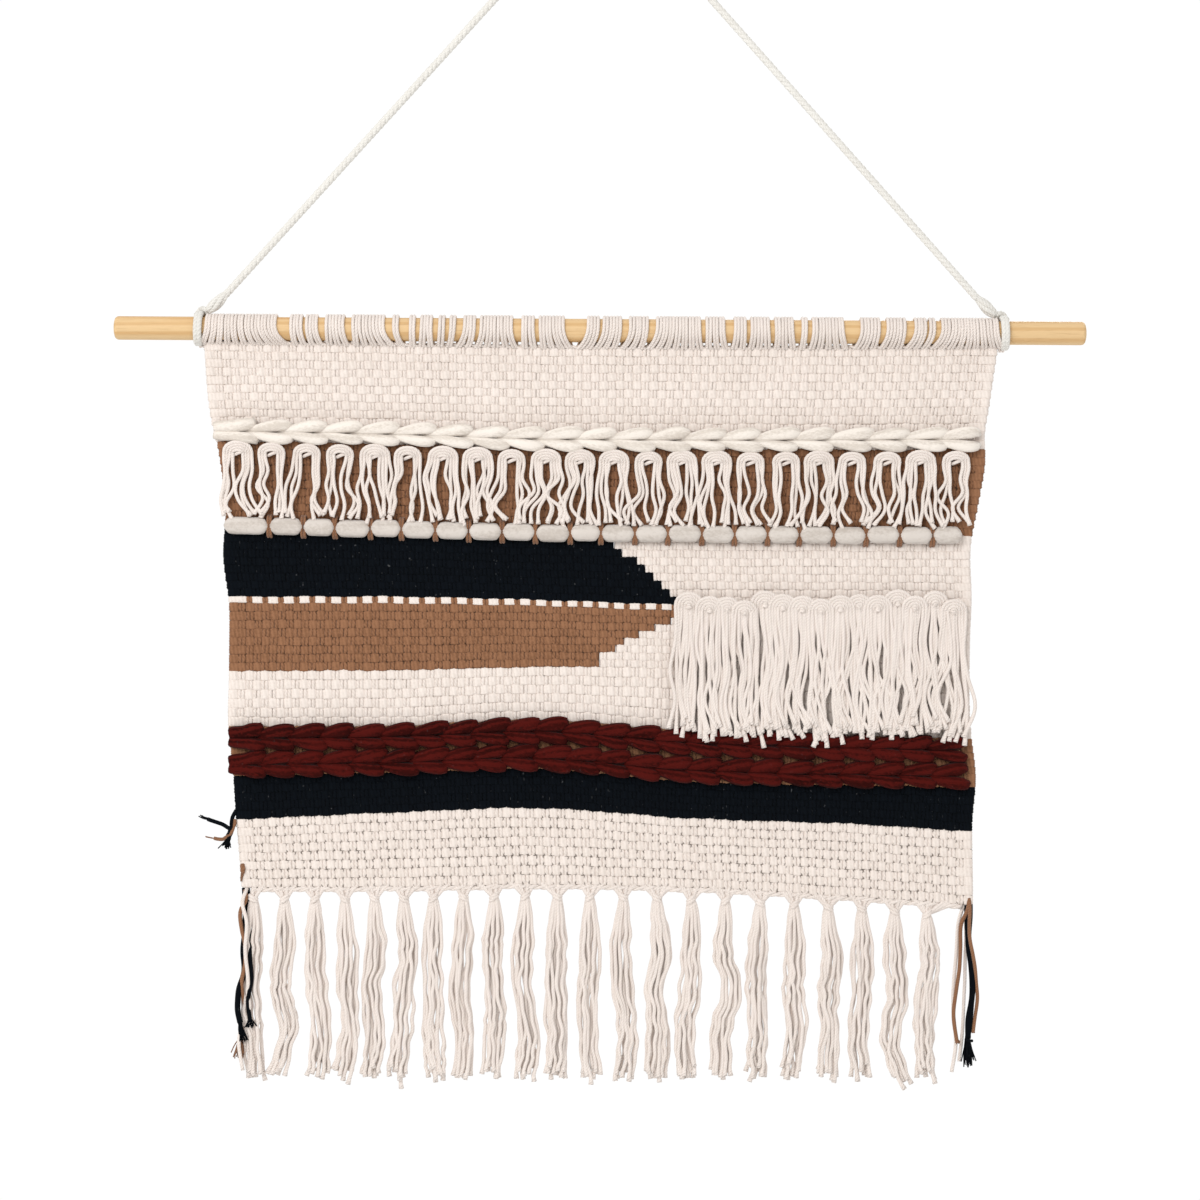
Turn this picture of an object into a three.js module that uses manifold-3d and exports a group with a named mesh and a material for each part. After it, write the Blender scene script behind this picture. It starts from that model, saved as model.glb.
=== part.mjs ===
// Woven wall hanging on a wooden dowel: a plain-weave panel in colour blocks with soumak braids,
// a row of roving loops, two rows of knotted fringe, 22 warp tassels and a hanging cord.
// Millimetres, +Z up, +X to the viewer's right, front of the cloth facing -Y.
// The origin is the top of the hanging cord, where the nail or hook goes.

import * as THREE from 'three';
import { mergeVertices } from 'three/addons/utils/BufferGeometryUtils.js';
import Module from 'manifold-3d';

// ---- driving dimensions ----------------------------------------------------------------------

const GAP = 0.3; // clearance between neighbouring pieces

const DOWEL_RADIUS = 8;
const DOWEL_LEFT = -331;
const DOWEL_RIGHT = 329;
const DOWEL_Z = -304.5; // height of the dowel's axis
const DOWEL_SIDES = 32;
const DOWEL_ROUND = 2.2; // radius of the worn edge at each end

const STRAND = 2.4; // one warp strand
const CLOTH_BACK = 2; // y of the back of the cloth
const CLOTH_FRONT = -2; // y of its front
const PILE_BACK = CLOTH_FRONT - GAP; // braids and fringes start here

const CORD_DIAMETER = 5;
const CORD_SIDES = 8;
const CORD_STEPS = 62;
// Left half of the hanging cord's centre line, [x, z], from its knot to the top.
const CORD_HALF_ROUTE = [
  [-255.5, -281.3], [-220, -241.8], [-184, -201.8], [-148, -161.8], [-112, -121.8],
  [-76, -81.8], [-40, -41.8], [-10, -8.5], [-4, -1.9], [0, 0],
];
const KNOT = { x: 260.5, z: -286, radius: 4.2, length: 6, sides: 8 };
const LOOP = { x: 272.5, strand: 4, pitch: 3.8, sides: 20 }; // the cord's two turns round the dowel
const LOOP_TO_KNOT = { x: 268, z: -290.4, steps: 5 }; // where the cord bends between the two

// Heights of the weave's rows, from the dowel down.
const ROW = {
  headerEnd: -319.5, topCreamEnd: -383, tanBandEnd: -440, navyEnd: -489.3, dashEnd: -495,
  tanBlockEnd: -538, midCreamEnd: -573, groundEnd: -612, lowerNavyEnd: -638, clothEnd: -684.5,
};
const WIDTH_STEP = 14; // spacing of the points down a selvedge
// Where the selvedges settle, how far they flare out at the dowel and how quickly that fades.
const SELVEDGE = { left: -253.5, right: 254, leftFlare: 15.5, rightFlare: 15, fade: 75, leftSlope: 0.024 };

// The warp's loops over the dowel stand in close groups, with bare wood between them.
const HEADER = { groups: 20, halfWidth: 267.3, sides: 16, wood: 3, woodVariation: 1.8, firstRow: 2.2 };

const TASSEL = { count: 22, left: -234.6, right: 223.7, bow: 11.5, skew: 0.9, top: -685, bottom: -810.5 };
const TASSEL_SIDES = 10;
const TASSEL_FLATNESS = 0.75; // depth over width
const SHORT_FRINGE = { tufts: 22, left: -246, right: 240.5, width: 16.5, top: -386.5, bottom: -433.3 };
const LONG_FRINGE = { tufts: 15, left: 56.5, right: 243.5, width: 10.6, top: -486, bottom: -573.2 };
const FRINGE_HALF = 3.5; // half the thickness of a fringe
const FRINGE_MIDDLE = PILE_BACK - FRINGE_HALF;
const FRINGE_KNOTS = 6; // height of the row of knots that a fringe hangs from
const FRINGE_SIDES = 12; // round the rolled top edge that a fringe swings on

const CREAM_BRAID = { height: 18.5, stitches: 21, front: -9.6, left: -260.5, right: 260.5, swell: 1.6 };
const CREAM_BRAID_TOP = -367.5;
const MAROON_BRAID = { height: 19.8, stitches: 24, front: -8, left: -250, right: 252, swell: 1.5 };
const MAROON_BRAIDS_TOP = -573.6;
const PEBBLES = { height: 12.2, stitches: 22, front: -11, left: -247, right: 244, swell: 2.6 };
const PEBBLES_TOP = -433.8;
const POINTS_PER_STITCH = 2;
const KNOT_SWELL = 0.8;

// The zigzag edge between the dark blocks on the left and the cream area on the right.
const BLOCK_EDGE = [
  [8, ROW.tanBandEnd], [8, -453.6], [26, -462], [34, -471.5], [47, -482], [54, ROW.navyEnd],
  [54, ROW.dashEnd], [47, -502.5], [26, -509.5], [11, -520], [1, -525], [-3, ROW.tanBlockEnd],
];
const NAVY_POINTS = 6; // how many of those points bound the navy block
const BLOCK_EDGE_GAP = 0.5;

// Loose ends of the coloured weft: a bundle at each lower corner and a few tails at the left edge.
const LEFT_BUNDLE = [[-244.8, -686.5], [-241.6, -700], [-242.4, -806], [-249.5, -806], [-248.5, -700]];
const RIGHT_BUNDLE = [
  [250.5, -686.5], [255, -705], [257, -782], [252, -805], [243.5, -805], [246.5, -705],
];
const BUNDLE_HALF = 3; // half the thickness of a bundle
const LEFT_TAILS = [
  [-248.2, -640], [-269, -636.5], [-269, -639], [-257, -645], [-263, -650], [-255, -659], [-250, -658],
  [-247.6, -646],
];
const TAILS_HALF = 1.6;

// ---- materials -------------------------------------------------------------------------------

const finish = (color, roughness) => new THREE.MeshStandardMaterial({ color, roughness, metalness: 0 });
const pine = () => finish(0xe4b984, 0.55);
const whiteCord = () => finish(0xf3f0ea, 0.9);
const creamCotton = () => finish(0xeadfd3, 0.95);
const creamRoving = () => finish(0xeee4d7, 0.97);
const tanYarn = () => finish(0x8c6247, 0.93);
const navyYarn = () => finish(0x0c1015, 0.9);
const maroonYarn = () => finish(0x3e0f0b, 0.92);

// ---- joining solids --------------------------------------------------------------------------

const wasm = await Module();
wasm.setup();

function toSolid(geometry) {
  const bare = geometry.clone();
  bare.deleteAttribute('normal');
  bare.deleteAttribute('uv');
  const merged = mergeVertices(bare, 1e-4);
  return new wasm.Manifold(new wasm.Mesh({
    numProp: 3,
    vertProperties: new Float32Array(merged.attributes.position.array),
    triVerts: new Uint32Array(merged.index.array),
  }));
}

function toGeometry(solid) {
  const mesh = solid.getMesh();
  const geometry = new THREE.BufferGeometry();
  geometry.setAttribute('position', new THREE.BufferAttribute(mesh.vertProperties, 3));
  geometry.setIndex(new THREE.BufferAttribute(mesh.triVerts, 1));
  geometry.computeVertexNormals();
  return geometry;
}

const joined = (geometries) => toGeometry(geometries.map(toSolid).reduce((all, one) => all.add(one)));

// ---- basic shapes ----------------------------------------------------------------------------

const outlineShape = (points) => new THREE.Shape(points.map(([u, v]) => new THREE.Vector2(u, v)));

function circlePoints(radius, sides, centreV = 0) {
  return Array.from({ length: sides }, (_, i) => {
    const angle = ((i + 0.5) / sides) * 2 * Math.PI;
    return [radius * Math.cos(angle), centreV + radius * Math.sin(angle)];
  });
}

// A flat plate standing in the plane of the cloth. The outline holds [x, z] points.
function plate(outline, front, back) {
  const options = { depth: back - front, bevelEnabled: false };
  const geometry = new THREE.ExtrudeGeometry(outlineShape(outline), options);
  geometry.rotateX(Math.PI / 2);
  return geometry.translate(0, back, 0);
}

// A bar along X with the given section of [y, z] points.
function barAlongX(shape, left, right) {
  const geometry = new THREE.ExtrudeGeometry(shape, { depth: right - left, bevelEnabled: false });
  const turn = new THREE.Matrix4().makeBasis(
    new THREE.Vector3(0, 1, 0), new THREE.Vector3(0, 0, 1), new THREE.Vector3(1, 0, 0),
  );
  return geometry.applyMatrix4(turn).translate(left, 0, 0);
}

// A turned solid on a vertical axis. The profile holds [radius, z] points, lowest first.
function turned(profile, sides, depthScale = 1) {
  const points = profile.map(([radius, z]) => new THREE.Vector2(radius, z));
  const geometry = new THREE.LatheGeometry(points, sides);
  geometry.rotateX(Math.PI / 2);
  return geometry.scale(1, depthScale, 1);
}

function tube(points, diameter, sides, steps) {
  const curve = new THREE.CatmullRomCurve3(points.map((p) => new THREE.Vector3(...p)), false, 'centripetal');
  const section = outlineShape(circlePoints(diameter / 2, sides));
  return new THREE.ExtrudeGeometry(section, { steps, extrudePath: curve, bevelEnabled: false });
}

// ---- outline of the cloth --------------------------------------------------------------------

// The cloth draws in quickly below the dowel and then stays nearly straight.
const flare = (z) => Math.exp((z - ROW.headerEnd) / SELVEDGE.fade);
const slant = (z) => SELVEDGE.leftSlope * (ROW.headerEnd - z) * (1 - flare(z));
const leftEdge = (z) => SELVEDGE.left - SELVEDGE.leftFlare * flare(z) + slant(z);
const rightEdge = (z) => SELVEDGE.right + SELVEDGE.rightFlare * flare(z);

function levelsBetween(top, bottom) {
  const count = Math.max(1, Math.round((top - bottom) / WIDTH_STEP));
  return Array.from({ length: count + 1 }, (_, i) => top + ((bottom - top) * i) / count);
}

function band(top, bottom) {
  const levels = levelsBetween(top, bottom);
  const left = levels.map((z) => [leftEdge(z), z]);
  const right = levels.map((z) => [rightEdge(z), z]).reverse();
  return [...left, ...right];
}

const clothBand = (top, bottom) => plate(band(top - GAP, bottom), CLOTH_FRONT, CLOTH_BACK);

// ---- the pieces ------------------------------------------------------------------------------

const object = new THREE.Group();

function addPart(name, geometry, material, x = 0) {
  const mesh = new THREE.Mesh(geometry, material);
  mesh.name = name;
  mesh.position.x = x;
  object.add(mesh);
}

function addDowel() {
  const half = (DOWEL_RIGHT - DOWEL_LEFT) / 2;
  const corner = (1 - Math.SQRT1_2) * DOWEL_ROUND;
  const end = [[0, half], [DOWEL_RADIUS - DOWEL_ROUND, half], [DOWEL_RADIUS - corner, half - corner],
    [DOWEL_RADIUS, half - DOWEL_ROUND]];
  const profile = [...end.map(([r, z]) => [r, -z]), ...end.reverse()];
  const geometry = turned(profile, DOWEL_SIDES).rotateY(Math.PI / 2);
  geometry.translate(0, 0, DOWEL_Z);
  addPart('dowel', geometry, pine(), (DOWEL_LEFT + DOWEL_RIGHT) / 2);
}

function addHangingCord() {
  const left = CORD_HALF_ROUTE.map(([x, z]) => [x, 0, z]);
  const right = CORD_HALF_ROUTE.slice(0, -1).map(([x, z]) => [-x, 0, z]).reverse();
  addPart('hanging_cord', tube([...left, ...right], CORD_DIAMETER, CORD_SIDES, CORD_STEPS), whiteCord());
}

// The cord's end: two turns round the dowel and the whipped knot above them, one length of cord.
function addCordEnd(name, side) {
  const half = LOOP.strand / 2;
  const ringRadius = (DOWEL_RADIUS + GAP) / Math.cos(Math.PI / LOOP.sides) + half;
  const turns = [-0.5, 0.5].map((offset) => {
    const ring = new THREE.TorusGeometry(ringRadius, half, 6, LOOP.sides);
    ring.rotateY(Math.PI / 2);
    return ring.translate(side * LOOP.x + offset * LOOP.pitch, 0, DOWEL_Z);
  });
  const knot = new THREE.CapsuleGeometry(KNOT.radius, KNOT.length, 3, KNOT.sides);
  knot.rotateX(Math.PI / 2).translate(side * KNOT.x, 0, KNOT.z);
  const route = [[LOOP.x, DOWEL_Z + ringRadius], [LOOP_TO_KNOT.x, LOOP_TO_KNOT.z], [KNOT.x, KNOT.z]];
  const link = tube(route.map(([x, z]) => [side * x, 0, z]), LOOP.strand, CORD_SIDES, LOOP_TO_KNOT.steps);
  addPart(name, joined([...turns, knot, link]), whiteCord());
}

// The section through a group of loops: round the dowel and down to the cloth, [y, z].
function loopSection() {
  const outer = circlePoints(DOWEL_RADIUS + GAP + STRAND, HEADER.sides, DOWEL_Z);
  const above = outer.filter(([, z]) => z > DOWEL_Z - DOWEL_RADIUS * 0.8);
  above.sort((a, b) => Math.atan2(a[0], a[1] - DOWEL_Z) - Math.atan2(b[0], b[1] - DOWEL_Z));
  const section = outlineShape([
    [CLOTH_FRONT, ROW.headerEnd], ...above, [CLOTH_BACK, ROW.headerEnd],
  ]);
  const holeRadius = (DOWEL_RADIUS + GAP) / Math.cos(Math.PI / HEADER.sides);
  section.holes.push(outlineShape(circlePoints(holeRadius, HEADER.sides, DOWEL_Z)));
  return section;
}

function addWarpHeader() {
  const share = (2 * HEADER.halfWidth) / HEADER.groups;
  const section = loopSection();
  const loops = Array.from({ length: HEADER.groups }, (_, i) => {
    const left = -HEADER.halfWidth + share * i;
    const wood = HEADER.wood + HEADER.woodVariation * Math.sin(i * 2.3);
    return barAlongX(section, left + (i ? wood / 2 : 0), left + share - wood / 2);
  });
  const firstRow = plate(band(ROW.headerEnd + HEADER.firstRow, ROW.headerEnd), CLOTH_FRONT, CLOTH_BACK);
  addPart('warp_header', joined([...loops, firstRow]), creamCotton());
}

function addClothBands() {
  addPart('cloth_top_cream', clothBand(ROW.headerEnd, ROW.topCreamEnd), creamCotton());
  addPart('cloth_tan_band', clothBand(ROW.topCreamEnd, ROW.tanBandEnd), tanYarn());
  addPart('cloth_tan_ground', clothBand(ROW.midCreamEnd, ROW.groundEnd), tanYarn());
  addPart('cloth_lower_navy', clothBand(ROW.groundEnd, ROW.lowerNavyEnd), navyYarn());
  addPart('cloth_lower_cream', clothBand(ROW.lowerNavyEnd, ROW.clothEnd), creamCotton());
}

// A block from the left selvedge to part of the zigzag edge.
function leftBlock(top, bottom, edgePoints) {
  const selvedge = levelsBetween(top - GAP, bottom).map((z) => [leftEdge(z), z]);
  return plate([...selvedge, ...edgePoints.reverse()], CLOTH_FRONT, CLOTH_BACK);
}

function addColourBlocks() {
  const lowered = ([x, z]) => [x, z - GAP];
  const navyEdge = BLOCK_EDGE.slice(0, NAVY_POINTS);
  navyEdge[0] = lowered(navyEdge[0]);
  const dashEdge = BLOCK_EDGE.slice(NAVY_POINTS - 1, NAVY_POINTS + 1);
  dashEdge[0] = lowered(dashEdge[0]);
  const tanEdge = BLOCK_EDGE.slice(NAVY_POINTS);
  tanEdge[0] = lowered(tanEdge[0]);
  addPart('cloth_navy_block', leftBlock(ROW.tanBandEnd, ROW.navyEnd, navyEdge), navyYarn());
  addPart('dash_row', leftBlock(ROW.navyEnd, ROW.dashEnd, dashEdge), creamRoving());
  addPart('cloth_tan_block', leftBlock(ROW.dashEnd, ROW.tanBlockEnd, tanEdge), tanYarn());
}

// The cream area right of the blocks, with the full-width band below them.
function addMidCream() {
  const top = ROW.tanBandEnd - GAP;
  const right = levelsBetween(top, ROW.midCreamEnd).map((z) => [rightEdge(z), z]);
  const left = levelsBetween(ROW.tanBlockEnd - GAP, ROW.midCreamEnd).map((z) => [leftEdge(z), z]).reverse();
  const zigzag = BLOCK_EDGE.map(([x, z]) => [x + BLOCK_EDGE_GAP, z]).reverse();
  zigzag[0][1] -= GAP;
  zigzag.at(-1)[1] = top;
  addPart('cloth_mid_cream', plate([...right, ...left, ...zigzag], CLOTH_FRONT, CLOTH_BACK), creamCotton());
}

// A thick row whose upper and lower edges swell once for each stitch or loop.
function scalloped(top, { height, stitches, front, left, right, swell }) {
  const total = stitches * POINTS_PER_STITCH;
  const edge = (z, way) => Array.from({ length: total + 1 }, (_, i) => {
    const dip = swell * (0.5 + 0.5 * Math.cos((2 * Math.PI * i) / POINTS_PER_STITCH));
    return [left + ((right - left) * i) / total, z - way * dip];
  });
  return plate([...edge(top, 1), ...edge(top - height, -1).reverse()], front, PILE_BACK);
}

function addRaisedRows() {
  addPart('soumak_cream', scalloped(CREAM_BRAID_TOP, CREAM_BRAID), creamRoving());
  addPart('soumak_maroon_upper', scalloped(MAROON_BRAIDS_TOP, MAROON_BRAID), maroonYarn());
  const lowerTop = MAROON_BRAIDS_TOP - MAROON_BRAID.height - GAP;
  addPart('soumak_maroon_lower', scalloped(lowerTop, MAROON_BRAID), maroonYarn());
  addPart('pebble_row', scalloped(PEBBLES_TOP, PEBBLES), creamRoving());
}

// The knots of a fringe, tied round the warp so that they stay with the cloth.
function fringeKnots(fringe) {
  const half = fringe.width / 2;
  return scalloped(fringe.top, {
    height: FRINGE_KNOTS, stitches: fringe.tufts, front: FRINGE_MIDDLE - FRINGE_HALF,
    left: fringe.left - half, right: fringe.right + half, swell: KNOT_SWELL,
  });
}

// The tufts below those knots: a comb that swings on its rolled top edge.
function fringeTufts(fringe, axisZ) {
  const pitch = (fringe.right - fringe.left) / (fringe.tufts - 1);
  const half = fringe.width / 2;
  const tufts = Array.from({ length: fringe.tufts }, (_, i) => {
    const x = fringe.left + pitch * i;
    const [left, right] = [x - half, x + half];
    const outline = [[left, axisZ], [left, fringe.bottom], [right, fringe.bottom], [right, axisZ]];
    return plate(outline, FRINGE_MIDDLE - FRINGE_HALF, PILE_BACK);
  });
  const edge = outlineShape(circlePoints(FRINGE_HALF, FRINGE_SIDES));
  const roll = barAlongX(edge, fringe.left - half, fringe.right + half);
  return joined([roll.translate(0, FRINGE_MIDDLE, axisZ), ...tufts]);
}

function addFringe(name, fringe) {
  const axisZ = fringe.top - FRINGE_KNOTS - GAP - FRINGE_HALF;
  addPart(`${name}_knots`, fringeKnots(fringe), creamRoving());
  addPart(name, fringeTufts(fringe, axisZ), creamRoving());
}

// Where tassel i hangs: even spacing, drawn a little to the left in the middle of the row.
function tasselX(i) {
  const t = i / (TASSEL.count - 1);
  const even = TASSEL.left + (TASSEL.right - TASSEL.left) * t;
  return even - TASSEL.bow * Math.sin(Math.PI * t ** TASSEL.skew) ** 2;
}

function addTassels() {
  const profile = [
    [0, TASSEL.bottom], [6.4, TASSEL.bottom], [6.9, TASSEL.bottom + 30], [6, TASSEL.bottom + 80],
    [3.6, TASSEL.top - 15], [3.4, TASSEL.top - 12], [5.2, TASSEL.top - 8], [5.2, TASSEL.top - 4],
    [2.6, TASSEL.top], [0, TASSEL.top],
  ];
  for (let i = 0; i < TASSEL.count; i += 1) {
    const name = `tassel_${String(i + 1).padStart(2, '0')}`;
    addPart(name, turned(profile, TASSEL_SIDES, TASSEL_FLATNESS), creamCotton(), tasselX(i));
  }
}

function addWeftEnds() {
  addPart('side_yarns_left', plate(LEFT_BUNDLE, -BUNDLE_HALF, BUNDLE_HALF), tanYarn());
  addPart('side_yarns_right', plate(RIGHT_BUNDLE, -BUNDLE_HALF, BUNDLE_HALF), navyYarn());
  addPart('weft_tails_left', plate(LEFT_TAILS, -TAILS_HALF, TAILS_HALF), navyYarn());
}

addDowel();
addHangingCord();
addCordEnd('cord_knot_left', -1);
addCordEnd('cord_knot_right', 1);
addWarpHeader();
addClothBands();
addColourBlocks();
addMidCream();
addRaisedRows();
addFringe('short_fringe', SHORT_FRINGE);
addFringe('long_fringe', LONG_FRINGE);
addTassels();
addWeftEnds();

export default object;
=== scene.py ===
"""Woven wall hanging, built yarn by yarn around its CAD frame.

The code works in millimetres and the scene is in metres: +Z up, +X to the viewer's right, front
facing -Y, origin at the top of the hanging cord.
"""
import functools
import math

import bpy
import numpy as np
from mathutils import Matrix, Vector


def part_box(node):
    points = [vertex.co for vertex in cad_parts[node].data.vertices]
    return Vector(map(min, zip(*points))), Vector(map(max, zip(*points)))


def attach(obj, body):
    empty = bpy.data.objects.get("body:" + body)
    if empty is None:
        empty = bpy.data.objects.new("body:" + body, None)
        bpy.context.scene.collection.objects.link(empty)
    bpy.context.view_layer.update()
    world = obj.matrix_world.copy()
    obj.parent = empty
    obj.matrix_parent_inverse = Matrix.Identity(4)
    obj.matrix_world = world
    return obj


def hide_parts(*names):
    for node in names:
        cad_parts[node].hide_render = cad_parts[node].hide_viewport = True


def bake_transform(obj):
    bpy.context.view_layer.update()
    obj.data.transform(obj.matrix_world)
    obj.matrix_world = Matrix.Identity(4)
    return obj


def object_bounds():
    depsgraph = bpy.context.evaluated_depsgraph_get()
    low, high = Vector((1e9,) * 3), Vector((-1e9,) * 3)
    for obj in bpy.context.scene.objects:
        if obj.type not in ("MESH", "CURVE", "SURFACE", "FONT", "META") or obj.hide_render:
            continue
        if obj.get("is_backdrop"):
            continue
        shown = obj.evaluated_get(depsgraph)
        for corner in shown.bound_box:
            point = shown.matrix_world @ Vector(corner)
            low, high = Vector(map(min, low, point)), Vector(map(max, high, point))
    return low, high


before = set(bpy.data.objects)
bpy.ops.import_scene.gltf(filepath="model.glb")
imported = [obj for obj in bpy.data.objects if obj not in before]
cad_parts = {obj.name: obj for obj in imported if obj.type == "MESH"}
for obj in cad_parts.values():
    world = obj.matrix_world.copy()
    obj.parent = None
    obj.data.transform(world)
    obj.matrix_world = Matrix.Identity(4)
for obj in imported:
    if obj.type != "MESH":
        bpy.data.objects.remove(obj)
CAD_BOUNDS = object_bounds()

MM = 0.001
RNG = np.random.default_rng(42)
FRONT = (0.0, -1.0, 0.0)
ALONG_X = (1.0, 0.0, 0.0)
UP = (0.0, 0.0, 1.0)


@functools.lru_cache(None)
def box(node):
    """Lowest and highest corner of a CAD node, in millimetres."""
    low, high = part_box(node)
    return np.array(low) / MM, np.array(high) / MM


# ---- camera ----

VIEW_WIDTH = 816.0  # width of the view at the cloth
VIEW_CENTRE_Z = -487.6
VIEW_ROLL = -0.33  # degrees
LENS, SENSOR = 85.0, 36.0


def add_camera():
    """Looks straight at the cloth, a third of a degree off level."""
    data = bpy.data.cameras.new("camera")
    data.lens, data.sensor_width = LENS, SENSOR
    camera = bpy.data.objects.new("camera", data)
    distance = VIEW_WIDTH * LENS / SENSOR
    camera.location = (0, -distance * MM, VIEW_CENTRE_Z * MM)
    camera.rotation_euler = (math.radians(90), math.radians(VIEW_ROLL), 0)
    bpy.context.scene.collection.objects.link(camera)
    bpy.context.scene.camera = camera


# ---- curves ----

def spline(x, stations, values):
    """A smooth curve through (stations, values), read at x. The stations increase."""
    s, v = np.asarray(stations, float), np.asarray(values, float)
    slope = np.gradient(v, s)
    i = np.clip(np.searchsorted(s, x) - 1, 0, len(s) - 2)
    width = s[i + 1] - s[i]
    t = np.clip((x - s[i]) / width, 0, 1)
    start, end = (1 + 2 * t) * (1 - t) ** 2, t * t * (3 - 2 * t)
    leave, arrive = t * (1 - t) ** 2, t * t * (t - 1)
    return start * v[i] + end * v[i + 1] + width * (leave * slope[i] + arrive * slope[i + 1])


def route(points, samples):
    """A smooth path of evenly spaced samples through a few points."""
    points = np.asarray(points, float)
    reach = np.concatenate([[0], np.cumsum(np.linalg.norm(np.diff(points, axis=0), axis=1))])
    fine = np.linspace(0, reach[-1], samples * 4)
    path = np.stack([spline(fine, reach, points[:, k]) for k in range(3)], axis=1)
    length = np.concatenate([[0], np.cumsum(np.linalg.norm(np.diff(path, axis=0), axis=1))])
    even = np.linspace(0, length[-1], samples)
    return np.stack([np.interp(even, length, path[:, k]) for k in range(3)], axis=1)


def wander(count, samples, knots):
    """Smooth random curves of about unit size, one in each row."""
    basis = np.stack([
        spline(np.linspace(0, 1, samples), np.linspace(0, 1, knots), one) for one in np.eye(knots)
    ])
    return RNG.normal(size=(count, knots)) @ basis


def helix(path, radius, turns, phase, facing=FRONT):
    """A path that winds round another one. The radius may vary along it."""
    path = np.asarray(path, float)
    side, front = crosswise(path[None], facing)
    angle = phase + 2 * math.pi * turns * np.linspace(0, 1, len(path))
    radius = np.broadcast_to(radius, len(path))
    offset = np.cos(angle)[:, None] * side[0] + np.sin(angle)[:, None] * front[0]
    return path + radius[:, None] * offset


def crosswise(paths, facing):
    """Unit vectors across each path: sideways, and the one nearest to facing."""
    along = np.gradient(paths, axis=1)
    along /= np.linalg.norm(along, axis=2, keepdims=True)
    side = np.cross(along, np.broadcast_to(np.asarray(facing, float), paths.shape))
    side /= np.linalg.norm(side, axis=2, keepdims=True)
    return side, np.cross(side, along)


# ---- yarn ----

def round_section(radius, sides, flatness=1.0):
    """A circle or ellipse of (sideways, forwards) points."""
    angle = 2 * math.pi * np.arange(sides) / sides
    return radius * np.stack([np.cos(angle), flatness * np.sin(angle)], axis=1)


def ribbon_section(strands=3):
    """Strands stacked side by side: a flat section with a ridge for each strand on both faces."""
    up = np.linspace(-0.5, 0.5, 2 * strands + 1)
    reach = np.where(np.arange(2 * strands + 1) % 2, 0.5, 0.31)
    reach[[0, -1]] = 0.0
    front = np.stack([reach, up], axis=1)
    back = (front * [-1, 1])[1:-1][::-1]
    return np.concatenate([front, back])


def grooved_section(grooves, depth):
    """A soft round bundle of radius 1 whose outline dips between its strands."""
    sides = grooves * 2
    angle = 2 * math.pi * np.arange(sides) / sides
    reach = 1 - depth * (np.arange(sides) % 2)
    return np.stack([reach * np.cos(angle), reach * np.sin(angle)], axis=1)


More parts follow.
